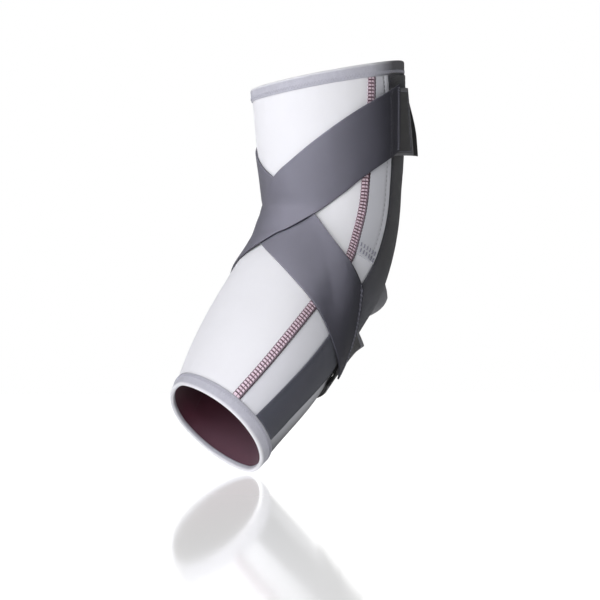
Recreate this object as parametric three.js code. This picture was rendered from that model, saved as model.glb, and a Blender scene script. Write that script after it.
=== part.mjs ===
// Elbow brace: a bent, tapering fabric sleeve with two elastic straps that cross in the crook.
// Millimetres, +Z up. The origin is the middle of the elbow's bend, on the sleeve's centreline.
// The crook faces -X, the point of the elbow +X, and the outer side of the arm -Y.

import * as THREE from "three";

const degree = Math.PI / 180;

// Centreline of the sleeve, from the top cut to the bottom cut.
const upperLength = 85;
const bendLength = 60;
const forearmLength = 127;
const flexion = 38.5 * degree;
const upperLean = -2 * degree;

// Half sizes of the sleeve's section, which the table of sections shares out.
const frontDepth = 55;
const backDepth = 52;
const halfWidth = 58;

// How much lower each cut is at the crook than on the centreline, at the top and at the bottom.
const topCutDrop = 10;
const bottomCutRise = 8.5;

// Fold of spare cloth over the point of the elbow. Its crest is a share of the sleeve's length.
const foldCrest = 0.483;
const foldHeight = 14.5;
const foldRiseAbove = 8;
const foldFallBelow = 19;
const foldHalfTurn = 27 * degree;

// Layers, from the inside out.
const clearance = 0.3;
const trimClearance = 0.4;
const liningWall = 1;
const panelWall = 2.2;
const seamWall = 0.6;
const pocketWall = 1;
const bandWall = 1.3;
const strapWall = 1.3;
const bindingWall = 0.8;
const hookWall = 1;
const tabWall = 1;
const strapClearance = 0.5;
const crossingClearance = 1.6;

// Widths and lengths of the trim.
const seamWidth = 5.5;
const bandWidth = 36;
const bindingDepth = 8;
const pocketLength = 122;
const strapWidth = 39.5;
const strapLead = 5;
const strapRamp = 8;
const tabWidth = 45;
const tabLength = 24;
const tabUnderStrap = 8;
const hookMargin = 9;
const tabBend = 1.5;

// Sections along the sleeve. at: share of its length. front, back, side: shares of the half sizes.
// seam, band: degrees from the crook to the side seam and to the front edge of the dark band.
// wide: share of the band's full width.
const sections = [
  { at: 0, front: 1, back: 1, side: 0.905, seam: 91, band: 106, wide: 1 },
  { at: 0.13, front: 0.965, back: 0.965, side: 0.885, seam: 89, band: 110, wide: 1 },
  { at: 0.25, front: 0.905, back: 0.93, side: 0.85, seam: 86, band: 112, wide: 1 },
  { at: 0.36, front: 0.865, back: 0.865, side: 0.8, seam: 83.5, band: 112, wide: 1 },
  { at: 0.43, front: 0.88, back: 0.86, side: 0.8, seam: 82.5, band: 110, wide: 1 },
  { at: 0.52, front: 0.865, back: 0.88, side: 0.86, seam: 82, band: 105, wide: 0.96 },
  { at: 0.62, front: 0.865, back: 0.885, side: 0.935, seam: 77, band: 102, wide: 0.88 },
  { at: 0.74, front: 0.82, back: 0.875, side: 1, seam: 71, band: 98, wide: 0.77 },
  { at: 0.87, front: 0.75, back: 0.825, side: 0.95, seam: 66, band: 92, wide: 0.64 },
  { at: 1, front: 0.665, back: 0.755, side: 0.8, seam: 61, band: 86, wide: 0.62 },
];

// Courses of the straps' middles. around: degrees round the arm from the crook. over, under:
// shares of the sleeve's length. Both cross the crook, and each ends on the outer side of the arm.
const strapCourses = [
  { around: -140, over: 0.635, under: 0.12 },
  { around: -110, over: 0.615, under: 0.145 },
  { around: -80, over: 0.59, under: 0.18 },
  { around: -60, over: 0.57, under: 0.208 },
  { around: -40, over: 0.548, under: 0.242 },
  { around: -20, over: 0.522, under: 0.288 },
  { around: 0, over: 0.474, under: 0.372 },
  { around: 20, over: 0.33, under: 0.464 },
  { around: 40, over: 0.275, under: 0.536 },
  { around: 60, over: 0.232, under: 0.57 },
  { around: 80, over: 0.191, under: 0.596 },
  { around: 100, over: 0.158, under: 0.625 },
  { around: 120, over: 0.128, under: 0.655 },
  { around: 140, over: 0.105, under: 0.675 },
];

// Ends of the straps. sewn, tabRoot: degrees round the arm to where a strap is sewn down and to
// where its tab's root lies beneath it. drop: how much lower than the strap's middle the tab's is.
// slant: how much further round the arm the tab's root lies at each step down. top, bottom: how
// far the two corners of its free end stand off.
const overStrapEnds = { sewn: -118, tabRoot: 106.5, drop: -0.3, slant: 0, top: 0, bottom: 3.5 };
const underStrapEnds = { sewn: -102, tabRoot: 127, drop: 8, slant: 0.6, top: 1.2, bottom: -0.7 };

// Rows and columns of the meshes.
const sleeveRows = [
  { to: 0.3, steps: 4 },
  { to: 0.44, steps: 4 },
  { to: 0.56, steps: 9 },
  { to: 1, steps: 7 },
];
// A row this near a cut, as a share of the first row's step, is left out.
const leastRowShare = 0.4;
const frontColumns = 14;
const besideFoldColumns = 6;
const foldColumns = 7;
const bandColumns = 4;
const pocketRows = 12;
const pocketColumns = 2;
const strapSteps = 26;
const strapColumns = 4;
const tabSteps = 6;
const tabColumns = 4;
const spareTurn = 22;

const sleeveLength = upperLength + bendLength + forearmLength;
const bendRadius = bendLength / flexion;
const liningOuter = -panelWall - clearance;
const liningInner = liningOuter - liningWall;
const seamTop = trimClearance + seamWall;
const pocketTop = trimClearance + pocketWall;
const bandTop = trimClearance + bandWall;
const trimStart = (bindingDepth + clearance) / sleeveLength;

const clamp = THREE.MathUtils.clamp;
const lerp = THREE.MathUtils.lerp;

// Smooth curve through one column of a table, read at a place along its key column.
function column(table, key, name, place) {
  const last = table.length - 1;
  const at = clamp(place, table[0][key], table[last][key]);
  let row = 0;
  while (row < last - 1 && at > table[row + 1][key]) row++;
  const slope = (i) => {
    const before = table[Math.max(i - 1, 0)];
    const after = table[Math.min(i + 1, last)];
    return (after[name] - before[name]) / (after[key] - before[key]);
  };
  const span = table[row + 1][key] - table[row][key];
  const t = (at - table[row][key]) / span;
  const start = table[row][name];
  const end = table[row + 1][name];
  const fromStart = (1 + 2 * t) * (1 - t) ** 2 * start + t * t * (3 - 2 * t) * end;
  return fromStart + span * (t * (1 - t) ** 2 * slope(row) - t * t * (1 - t) * slope(row + 1));
}

const section = (along, name) => column(sections, "at", name, along);
const seamAt = (along) => section(along, "seam") * degree;
const bandAt = (along) => section(along, "band") * degree;
const bandWide = (along) => section(along, "wide") * bandWidth;

// Place and lean of the centreline at a length from the top cut.
function centreline(length) {
  const intoBend = clamp((length - upperLength) / bendLength, 0, 1);
  const lean = upperLean + flexion * intoBend;
  const middle = upperLean + flexion / 2;
  const beyond = length < upperLength ? length - upperLength : Math.max(length - upperLength - bendLength, 0);
  return {
    x: bendRadius * (Math.cos(lean) - Math.cos(middle)) - beyond * Math.sin(lean),
    z: -bendRadius * (Math.sin(lean) - Math.sin(middle)) - beyond * Math.cos(lean),
    lean,
  };
}

// Height of the fold over the point of the elbow.
function foldAt(along, around) {
  const fromCrest = (along - foldCrest) * sleeveLength;
  const lengthwise = fromCrest / (fromCrest < 0 ? foldRiseAbove : foldFallBelow);
  const sideways = (Math.PI - Math.abs(wrap(around))) / foldHalfTurn;
  if (Math.abs(lengthwise) >= 1 || sideways >= 1) return 0;
  return foldHeight * Math.cos((lengthwise * Math.PI) / 2) ** 2 * Math.cos((sideways * Math.PI) / 2);
}

const wrap = (angle) => angle - 2 * Math.PI * Math.round(angle / (2 * Math.PI));

// Point of the sleeve. along: share of its length. around: angle from the crook by way of the
// outer side. height: distance out from the face of the panels.
function skin(along, around, height) {
  const cos = Math.cos(around);
  const cut = topCutDrop * cos * (1 - along) ** 2 - bottomCutRise * cos * along ** 2;
  const { x, z, lean } = centreline(along * sleeveLength + cut);
  const front = section(along, "front") * frontDepth;
  const back = section(along, "back") * backDepth + foldAt(along, around);
  const forward = ((cos > 0 ? front : back) + height) * cos;
  const sideways = (section(along, "side") * halfWidth + height) * Math.sin(around);
  return new THREE.Vector3(x - Math.cos(lean) * forward, -sideways, z + Math.sin(lean) * forward);
}

// Directions of the skin, in millimetres for a whole share along and for a radian around.
function directions(along, around) {
  const step = 1e-4;
  const here = skin(along, around, 0);
  const lengthwise = skin(along + step, around, 0).sub(here).divideScalar(step);
  const sideways = skin(along, around + step, 0).sub(here).divideScalar(step);
  return { lengthwise, sideways };
}

// Closed mesh through rings of points. Rings of one wall run out along its outer face and back
// along its inner one, and both faces are split along the same diagonals.
function loft(name, rings, material, closed = false) {
  const size = rings[0].length;
  const corner = (i, j) => (i % rings.length) * size + (j % size);
  const faces = [];
  const bands = closed ? rings.length : rings.length - 1;
  for (let i = 0; i < bands; i++) {
    for (let j = 0; j < size; j++) {
      const [a, b, c, d] = [corner(i, j), corner(i + 1, j), corner(i + 1, j + 1), corner(i, j + 1)];
      if (j < size / 2) faces.push(a, b, c, a, c, d);
      else faces.push(a, b, d, b, c, d);
    }
  }
  const half = size / 2;
  for (let k = 0; k < half - 1 && !closed; k++) {
    const far = rings.length - 1;
    const pair = size - 1 - k;
    faces.push(corner(0, k), corner(0, k + 1), corner(0, pair - 1));
    faces.push(corner(0, k), corner(0, pair - 1), corner(0, pair));
    faces.push(corner(far, k), corner(far, pair - 1), corner(far, k + 1));
    faces.push(corner(far, k), corner(far, pair), corner(far, pair - 1));
  }
  const points = rings.flat();
  const volume = (f) => points[faces[f]].dot(points[faces[f + 1]].clone().cross(points[faces[f + 2]]));
  let total = 0;
  for (let f = 0; f < faces.length; f += 3) total += volume(f);
  const geometry = new THREE.BufferGeometry().setFromPoints(points);
  geometry.setIndex(total > 0 ? faces : faces.reverse());
  geometry.computeVertexNormals();
  const mesh = new THREE.Mesh(geometry, material);
  mesh.name = name;
  return mesh;
}

// Wall over a grid of places on the skin, from a low to a high height at each place.
function wall(name, grid, low, high, material) {
  const rings = grid.map((row) => {
    const outer = row.map(([along, around]) => skin(along, around, high(along, around)));
    const inner = row.map(([along, around]) => skin(along, around, low(along, around)));
    return [...outer, ...inner.reverse()];
  });
  return loft(name, rings, material);
}

// Shares along the sleeve between two cuts, on the rows of its mesh.
function rowsBetween(start, end) {
  const rows = [0];
  for (const { to, steps } of sleeveRows) {
    const from = rows[rows.length - 1];
    for (let i = 1; i <= steps; i++) rows.push(lerp(from, to, i / steps));
  }
  const margin = leastRowShare * rows[1];
  return [start, ...rows.filter((at) => at > start + margin && at < end - margin), end];
}

// Angle that lies some millimetres round the sleeve from another.
function turnedBy(along, around, distance) {
  const strides = 4;
  let angle = around;
  for (let i = 0; i < strides; i++) {
    angle += distance / strides / directions(along, angle).sideways.length();
  }
  return angle;
}

// Grid between two angles at each share along the sleeve.
function strip(rows, from, to, columns) {
  return rows.map((along) => {
    const [start, end] = [from(along), to(along)];
    return Array.from({ length: columns + 1 }, (_, k) => [along, lerp(start, end, k / columns)]);
  });
}

const mirrored = (grid) => grid.map((row) => row.map(([along, around]) => [along, -around]));
const level = (height) => () => height;

const fabric = (color, roughness = 0.9) => new THREE.MeshStandardMaterial({ color, roughness, metalness: 0 });
const whiteCloth = fabric(0xe6e6e8);
const greyCloth = fabric(0xb4b5bc, 0.75);
const liningCloth = fabric(0x42222e);
const bindingTape = fabric(0xb9b9c2, 0.8);
const seamThread = fabric(0x6e3048, 0.7);
const darkWebbing = fabric(0x3a3b44, 0.8);
const strapElastic = fabric(0x61616e, 0.7);
const tabCloth = fabric(0x3a3a3a, 0.8);
const hookPlastic = fabric(0x0e0e0e, 0.6);

const rows = rowsBetween(0, 1);
const seamGap = (along) => clearance / 2 / directions(along, seamAt(along)).sideways.length();

function frontPanel() {
  const edge = (along) => seamAt(along) - seamGap(along);
  const grid = strip(rows, (along) => -edge(along), edge, frontColumns);
  return wall("front_panel", grid, level(-panelWall), level(0), whiteCloth);
}

// Even steps from one angle to another, without the last one.
const steps = (from, to, count) => Array.from({ length: count }, (_, k) => lerp(from, to, k / count));

// Columns of the back panel between its edges, closer together over the fold.
function backAngles(from) {
  const foldStart = Math.PI - foldHalfTurn;
  const foldEnd = Math.PI + foldHalfTurn;
  return [
    ...steps(from, foldStart, besideFoldColumns),
    ...steps(foldStart, foldEnd, foldColumns),
    ...steps(foldEnd, 2 * Math.PI - from, besideFoldColumns),
  ];
}

function backPanel() {
  const edge = (along) => seamAt(along) + seamGap(along);
  const grid = rows.map((along) =>
    [...backAngles(edge(along)), 2 * Math.PI - edge(along)].map((around) => [along, around]),
  );
  return wall("back_panel", grid, level(-panelWall), level(0), greyCloth);
}

// Angles of the panels' columns at a share along, once round the sleeve.
function anglesAround(along) {
  const seam = seamAt(along);
  return [...steps(-seam, seam, frontColumns), ...backAngles(seam)];
}

// Tube round the whole sleeve. Its profile lists shares along and heights, out and back.
function tube(name, profile, material) {
  const angles = profile.map(({ along }) => anglesAround(clamp(along, 0, 1)));
  const ringAt = (k) => profile.map(({ along, height }, i) => skin(along, angles[i][k], height));
  const rings = angles[0].map((_, k) => ringAt(k));
  return loft(name, rings, material, true);
}

function lining() {
  const outer = rows.map((along) => ({ along, height: liningOuter }));
  const inner = rows.map((along) => ({ along, height: liningInner }));
  return tube("lining", [...outer, ...inner.reverse()], liningCloth);
}

// Tape folded over a cut edge. end: 0 for the top cut, 1 for the bottom one.
function binding(name, end) {
  const inward = end === 0 ? 1 : -1;
  const place = (length, height) => ({ along: end + (inward * length) / sleeveLength, height });
  const inside = liningInner - clearance;
  const crown = -clearance - bindingWall;
  const round = bindingWall;
  const profile = [
    place(bindingDepth, clearance + bindingWall),
    place(crown + round, clearance + bindingWall),
    place(crown, clearance),
    place(crown, inside),
    place(crown + round, inside - bindingWall),
    place(bindingDepth, inside - bindingWall),
    place(bindingDepth, inside),
    place(-clearance, inside),
    place(-clearance, clearance),
    place(bindingDepth, clearance),
  ];
  return tube(name, profile, bindingTape);
}

// Seam cover, pocket and dark band of one side of the arm.
function sideTrim(side, turned) {
  const trimRows = rowsBetween(trimStart, 1 - trimStart);
  const pocketEnd = trimStart + pocketLength / sleeveLength;
  const pocketStations = Array.from({ length: pocketRows + 1 }, (_, k) =>
    lerp(trimStart, pocketEnd, k / pocketRows),
  );
  const seamEdge = (along, sign) => turnedBy(along, seamAt(along), (sign * seamWidth) / 2);
  const bandEnd = (along) => turnedBy(along, bandAt(along), bandWide(along));
  const seamGrid = strip(trimRows, (along) => seamEdge(along, -1), (along) => seamEdge(along, 1), 1);
  const bandGrid = strip(trimRows, bandAt, bandEnd, bandColumns);
  const pocketGrid = strip(
    pocketStations,
    (along) => turnedBy(along, seamEdge(along, 1), clearance),
    (along) => turnedBy(along, bandAt(along), -clearance),
    pocketColumns,
  );
  return [
    wall(`${side}_seam`, turned(seamGrid), level(trimClearance), level(seamTop), seamThread),
    wall(`${side}_stay_pocket`, turned(pocketGrid), level(trimClearance), level(pocketTop), greyCloth),
    wall(`${side}_band`, turned(bandGrid), level(trimClearance), level(bandTop), darkWebbing),
  ];
}

// Share of the full height at a distance outside a piece that a strap climbs over.
const climb = (distance) => 1 - THREE.MathUtils.smoothstep(distance, strapLead, strapLead + strapRamp);

// Height of the seam, pocket and band under a strap.
function trimHeight(along, around) {
  const angle = Math.abs(wrap(around));
  const perRadian = directions(along, angle).sideways.length();
  const outside = (from, to) => Math.max(from - angle, angle - to) * perRadian;
  const seam = seamAt(along);
  const band = bandAt(along);
  const pastPocket = (along - trimStart) * sleeveLength - pocketLength;
  const heights = [
    seamTop * climb(outside(seam, seam) - seamWidth / 2),
    pocketTop * climb(Math.max(outside(seam, band), pastPocket)),
    bandTop * climb(outside(band, band + bandWide(along) / perRadian)),
  ];
  return Math.max(...heights);
}

// Middle of a strap at an angle round the arm. name: over or under.
const courseAt = (name, around) => [column(strapCourses, "around", name, around / degree), around];

// Place on the skin some millimetres away from another, straight along a heading.
function walk([along, around], heading, distance) {
  const strides = 5;
  const stride = distance / strides;
  const way = heading.clone();
  for (let i = 0; i < strides; i++) {
    const { lengthwise, sideways } = directions(along, around);
    const normal = lengthwise.clone().cross(sideways).normalize();
    way.addScaledVector(normal, -way.dot(normal)).normalize();
    const [aa, ab, bb] = [lengthwise.lengthSq(), lengthwise.dot(sideways), sideways.lengthSq()];
    const [wa, wb] = [way.dot(lengthwise), way.dot(sideways)];
    const scale = stride / (aa * bb - ab * ab);
    along += (wa * bb - wb * ab) * scale;
    around += (wb * aa - wa * ab) * scale;
  }
  return [along, around];
}

// Line of places on the skin, beside the middle of a strap.
function strapLine(name, from, to, aside) {
  const samples = 60;
  return Array.from({ length: samples + 1 }, (_, k) => {
    const middle = courseAt(name, lerp(from, to, k / samples));
    const ahead = courseAt(name, middle[1] + degree);
    const heading = skin(...ahead, 0).sub(skin(...middle, 0));
    const { lengthwise, sideways } = directions(...middle);
    return walk(middle, lengthwise.cross(sideways).cross(heading).normalize(), aside);
  });
}

// Places where a line round the arm meets each cut, with even steps between them. A cut gives its
// angle at a share along the sleeve.
function cutLine(line, cuts) {
  const placeOf = (angleAt) => {
    const past = (k) => line[k][1] - angleAt(line[k][0]);
    let k = 0;
    while (k < line.length - 2 && past(k + 1) < 0) k++;
    return k - past(k) / (past(k + 1) - past(k));
  };
  const pointAt = (place) => {
    const k = clamp(Math.floor(place), 0, line.length - 2);
    const t = place - k;
    return [lerp(line[k][0], line[k + 1][0], t), lerp(line[k][1], line[k + 1][1], t)];
  };
  const places = [placeOf(cuts[0].angleAt)];
  for (const { angleAt, steps } of cuts.slice(1)) {
    const [start, end] = [places[places.length - 1], placeOf(angleAt)];
    for (let i = 1; i <= steps; i++) places.push(lerp(start, end, i / steps));
  }
  return places.map(pointAt);
}

// Layout of a strap and its tab. rootAt gives the angle of the tab's slanting root at a share
// along the sleeve, and beyond gives a cut of the strap some millimetres past it.
function strapLayout(name, ends) {
  const root = ends.tabRoot * degree;
  const [rootAlong] = courseAt(name, root);
  const perRadian = directions(rootAlong, root).sideways.length();
  const perShare = (ends.slant * sleeveLength) / perRadian;
  const rootAt = (along) => root + (along - rootAlong) * perShare;
  const beyond = (distance) => (along) => rootAt(along) + distance / perRadian;
  return { name, ...ends, root, rootAlong, rootAt, beyond, perRadian };
}

function strapGrid({ name, sewn, tabRoot, beyond }) {
  const cuts = [
    { angleAt: level(sewn * degree) },
    { angleAt: beyond(-strapLead - strapRamp), steps: strapSteps },
    { angleAt: beyond(-strapLead), steps: 2 },
    { angleAt: beyond(tabUnderStrap), steps: 2 },
  ];
  const [from, to] = [sewn - spareTurn, tabRoot + spareTurn];
  const lines = Array.from({ length: strapColumns + 1 }, (_, k) => {
    const aside = (k / strapColumns - 0.5) * strapWidth;
    return cutLine(strapLine(name, from * degree, to * degree, aside), cuts);
  });
  return lines[0].map((_, i) => lines.map((line) => line[i]));
}

const tabStack = hookWall + tabWall + 2 * clearance;

// Height of the inner face of a strap's tab at its root.
const tabBase = ({ rootAlong, root }) => trimHeight(rootAlong, root) + strapClearance;

// Height of a strap's inner face.
function strapHeight(layout, crossed) {
  const overTab = tabBase(layout) + tabStack;
  return (along, around) => {
    const short = (layout.rootAt(along) - around) * layout.perRadian;
    const overStrap = crossed ? (strapWall + crossingClearance) * climb(crossed(along, around)) : 0;
    return lerp(trimHeight(along, around) + strapClearance + overStrap, overTab, climb(short));
  };
}

// Distance from a place on the skin to the edge of a strap.
function distanceTo({ name, sewn, tabRoot }) {
  const samples = 80;
  const middle = Array.from({ length: samples + 1 }, (_, k) =>
    skin(...courseAt(name, lerp(sewn, tabRoot, k / samples) * degree), 0),
  );
  return (along, around) => {
    const here = skin(along, around, 0);
    return Math.min(...middle.map((point) => point.distanceTo(here))) - strapWidth / 2;
  };
}

function strap(layout, crossed) {
  const low = strapHeight(layout, crossed);
  const high = (along, around) => low(along, around) + strapWall;
  return wall(`${layout.name}_strap`, strapGrid(layout), low, high, strapElastic);
}

// Stiff tab at the free end of a strap, with the hook pad on its inner face.
function tab(side, layout) {
  const { rootAlong, rootAt, perRadian } = layout;
  const base = tabBase(layout);
  const middle = rootAlong + layout.drop / sleeveLength;
  const piece = (name, low, thickness, length, material) => {
    const grid = Array.from({ length: tabSteps + 1 }, (_, i) =>
      Array.from({ length: tabColumns + 1 }, (__, k) => {
        const along = middle + ((k / tabColumns - 0.5) * tabWidth) / sleeveLength;
        return [along, turnedBy(rootAlong, rootAt(along), (length * i) / tabSteps)];
      }),
    );
    const rise = (along, around) => {
      const reach = (around - rootAt(along)) * perRadian;
      const free = Math.max(reach - tabUnderStrap, 0) / (tabLength - tabUnderStrap);
      const lower = (along - middle) * (sleeveLength / tabWidth) + 0.5;
      return base + low + lerp(layout.top, layout.bottom, lower) * free ** tabBend;
    };
    return wall(name, grid, rise, (along, around) => rise(along, around) + thickness, material);
  };
  return [
    piece(`${side}_hook_pad`, 0, hookWall, tabLength + hookMargin, hookPlastic),
    piece(`${side}_tab`, hookWall + clearance, tabWall, tabLength, tabCloth),
  ];
}

const overLayout = strapLayout("over", overStrapEnds);
const underLayout = strapLayout("under", underStrapEnds);

const group = new THREE.Group();
group.name = "elbow_brace";
group.add(
  frontPanel(),
  backPanel(),
  lining(),
  binding("top_binding", 0),
  binding("bottom_binding", 1),
  ...sideTrim("lateral", (grid) => grid),
  ...sideTrim("medial", mirrored),
  strap(underLayout),
  strap(overLayout, distanceTo(underLayout)),
  ...tab("upper", overLayout),
  ...tab("lower", underLayout),
);

export default group;
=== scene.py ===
"""Elbow brace: cloth, straps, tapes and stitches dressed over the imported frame.
Metres, +Z up. The crook faces -X, the point of the elbow +X, and the outer side of the arm -Y."""

import math

import bpy
import numpy as np
from mathutils import Matrix, Vector


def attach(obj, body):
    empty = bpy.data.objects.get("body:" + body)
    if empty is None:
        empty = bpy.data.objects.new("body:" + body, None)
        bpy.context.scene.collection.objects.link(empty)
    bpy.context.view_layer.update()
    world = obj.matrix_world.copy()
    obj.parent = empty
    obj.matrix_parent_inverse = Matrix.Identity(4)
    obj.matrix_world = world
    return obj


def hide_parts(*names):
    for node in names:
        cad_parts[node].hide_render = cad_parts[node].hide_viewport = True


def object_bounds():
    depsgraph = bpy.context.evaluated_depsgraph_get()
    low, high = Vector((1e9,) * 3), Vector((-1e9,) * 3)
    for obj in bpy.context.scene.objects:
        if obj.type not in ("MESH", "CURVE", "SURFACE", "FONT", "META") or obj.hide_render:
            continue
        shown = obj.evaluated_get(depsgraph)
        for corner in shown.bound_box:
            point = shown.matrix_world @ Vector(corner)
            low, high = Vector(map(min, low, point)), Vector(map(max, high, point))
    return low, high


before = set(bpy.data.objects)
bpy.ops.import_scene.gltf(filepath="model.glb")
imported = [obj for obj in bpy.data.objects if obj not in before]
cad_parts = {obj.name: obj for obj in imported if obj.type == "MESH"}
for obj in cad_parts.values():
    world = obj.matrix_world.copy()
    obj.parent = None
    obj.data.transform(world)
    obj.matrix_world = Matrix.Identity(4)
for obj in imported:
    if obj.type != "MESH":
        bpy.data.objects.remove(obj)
cad_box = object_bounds()

MM = 0.001
DEGREE = math.pi / 180

# Centreline of the sleeve and half sizes of its section.
UPPER_LENGTH = 0.085
BEND_LENGTH = 0.060
FOREARM_LENGTH = 0.127
SLEEVE_LENGTH = UPPER_LENGTH + BEND_LENGTH + FOREARM_LENGTH
FLEXION = 38.5 * DEGREE
UPPER_LEAN = -2 * DEGREE
FRONT_DEPTH = 0.055
BACK_DEPTH = 0.052
HALF_WIDTH = 0.058
TOP_CUT_DROP = 0.010
BOTTOM_CUT_RISE = 0.0085
MOUTH_PINCH = 0.2
MOUTH_REACH = 0.055

# Fold of spare cloth over the point of the elbow.
FOLD_CREST = 0.483
FOLD_HEIGHT = 0.0145
FOLD_RISE_ABOVE = 0.008
FOLD_FALL_BELOW = 0.019
FOLD_HALF_TURN = 27 * DEGREE

# Layers, as distances out from the face of the panels.
PANEL_WALL = 2.2 * MM
LINING_OUTER = -2.5 * MM
LINING_INNER = -3.5 * MM
POCKET_TOP = 1.3 * MM
BAND_TOP = 1.7 * MM
SEAM_BASE_TOP = 0.65 * MM
STRAP_WALL = 1.2 * MM
STRAP_GAP = 0.35 * MM
CROSSING_GAP = 0.5 * MM
TAB_GAP = 0.5 * MM
HOOK_WALL = 1.0 * MM
TAB_WALL = 1.0 * MM
LAYER_GAP = 0.3 * MM

# Widths and lengths of the trim.
SEAM_WIDTH = 5.5 * MM
BAND_WIDTH = 36 * MM
BINDING_DEPTH = 8 * MM
POCKET_LENGTH = 122 * MM
STRAP_WIDTH = 39.5 * MM
STRAP_LEAD = 5 * MM
STRAP_RAMP = 8 * MM
TAB_WIDTH = 45 * MM
TAB_LENGTH = 24 * MM
TAB_UNDER_STRAP = 8 * MM
TAB_BEND = 1.5
SQUEEZED = 16 * MM
TRIM_START = (BINDING_DEPTH + LAYER_GAP) / SLEEVE_LENGTH

# Sections along the sleeve: place, shares of the half sizes, degrees from the crook to the side
# seam and to the band's front edge, and the share of the band's full width.
SECTION_COLUMNS = ("at", "front", "back", "side", "seam", "band", "wide")
SECTIONS = (
    (0, 1, 1, 0.905, 91, 106, 1),
    (0.13, 0.965, 0.965, 0.885, 89, 110, 1),
    (0.25, 0.905, 0.93, 0.85, 86, 112, 1),
    (0.36, 0.865, 0.865, 0.8, 83.5, 112, 1),
    (0.43, 0.88, 0.86, 0.8, 82.5, 110, 1),
    (0.52, 0.865, 0.88, 0.86, 82, 105, 0.96),
    (0.62, 0.865, 0.885, 0.935, 77, 102, 0.88),
    (0.74, 0.82, 0.875, 1, 71, 98, 0.77),
    (0.87, 0.75, 0.825, 0.95, 66, 92, 0.64),
    (1, 0.665, 0.755, 0.8, 61, 86, 0.62),
)

# Courses of the straps' middles: degrees round the arm, and shares of the sleeve's length.
COURSE_COLUMNS = ("around", "over", "under")
COURSES = (
    (-140, 0.635, 0.12),
    (-110, 0.615, 0.145),
    (-80, 0.59, 0.18),
    (-60, 0.57, 0.208),
    (-40, 0.548, 0.242),
    (-20, 0.522, 0.288),
    (0, 0.474, 0.372),
    (20, 0.33, 0.464),
    (40, 0.275, 0.536),
    (60, 0.232, 0.57),
    (80, 0.191, 0.596),
    (100, 0.158, 0.625),
    (120, 0.128, 0.655),
    (140, 0.105, 0.675),
)

# Ends of the straps: where each is sewn down and its tab's root lies, in degrees; how much lower
# the tab's middle is; the slant of its root; the share cut off its top; how far its hook pad
# reaches past it; how far the strap covers it; how far its free corners stand off and how sharply
# the upper one does; and how much further the pad's rim stands off.
STRAPS = {
    "over": dict(
        sewn=-118, root=106.5, drop=-0.3 * MM, slant=0, trimmed=0.0,
        margin=9 * MM, cover=8 * MM, top=0.3 * MM, bottom=5 * MM, corner=1, pad_lift=3.4 * MM,
    ),
    "under": dict(
        sewn=-102, root=123, drop=8 * MM, slant=0.6, trimmed=0.13,
        margin=1 * MM, cover=1 * MM, top=7 * MM, bottom=0.6 * MM, corner=3, pad_lift=0,
    ),
}


def srgb(red, green, blue):
    """Linear colour of an sRGB one given from 0 to 255."""
    values = np.array([red, green, blue]) / 255
    linear = np.where(values <= 0.04045, values / 12.92, ((values + 0.055) / 1.055) ** 2.4)
    return (*linear.tolist(), 1.0)


# Surface of the sleeve.


def column(rows, columns, key, name, place):
    """Smooth curve through one column of a table."""
    table = np.array(rows, float)
    keys = table[:, columns.index(key)]
    values = table[:, columns.index(name)]
    at = np.clip(place, keys[0], keys[-1])
    row = np.clip(np.searchsorted(keys, at, side="left") - 1, 0, len(keys) - 2)
    before = np.maximum(np.arange(len(keys)) - 1, 0)
    after = np.minimum(np.arange(len(keys)) + 1, len(keys) - 1)
    slope = (values[after] - values[before]) / (keys[after] - keys[before])
    span = keys[row + 1] - keys[row]
    t = (at - keys[row]) / span
    ends = (1 + 2 * t) * (1 - t) ** 2 * values[row] + t * t * (3 - 2 * t) * values[row + 1]
    return ends + span * (t * (1 - t) ** 2 * slope[row] - t * t * (1 - t) * slope[row + 1])


def section(along, name):
    return column(SECTIONS, SECTION_COLUMNS, "at", name, along)


def seam_at(along):
    return section(along, "seam") * DEGREE


def band_at(along):
    return section(along, "band") * DEGREE


def rear_at(along):
    return turned_by(along, band_at(along), section(along, "wide") * BAND_WIDTH)


def wrap(angle):
    return angle - 2 * math.pi * np.round(angle / (2 * math.pi))


def fold_at(along, around):
    """Height of the fold over the point of the elbow."""
    from_crest = (along - FOLD_CREST) * SLEEVE_LENGTH
    lengthwise = from_crest / np.where(from_crest < 0, FOLD_RISE_ABOVE, FOLD_FALL_BELOW)
    sideways = (math.pi - np.abs(wrap(around))) / FOLD_HALF_TURN
    inside = (np.abs(lengthwise) < 1) & (sideways < 1)
    profile = np.cos(np.clip(lengthwise, -1, 1) * math.pi / 2) ** 2
    spread = np.cos(np.clip(sideways, 0, 1) * math.pi / 2)
    return np.where(inside, FOLD_HEIGHT * profile * spread, 0)


def drift(along, around):
    """Slow unevenness of the cloth, shared by every layer so that none meets the next."""
    first = np.sin(17 * along + 2.3 * np.sin(2 * around + 0.6) + 1.1)
    second = np.sin(31 * along - 3 * around + 0.4) * np.sin(2 * around + 11 * along + 2.0)
    return 0.16 * MM * first + 0.14 * MM * second


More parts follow.
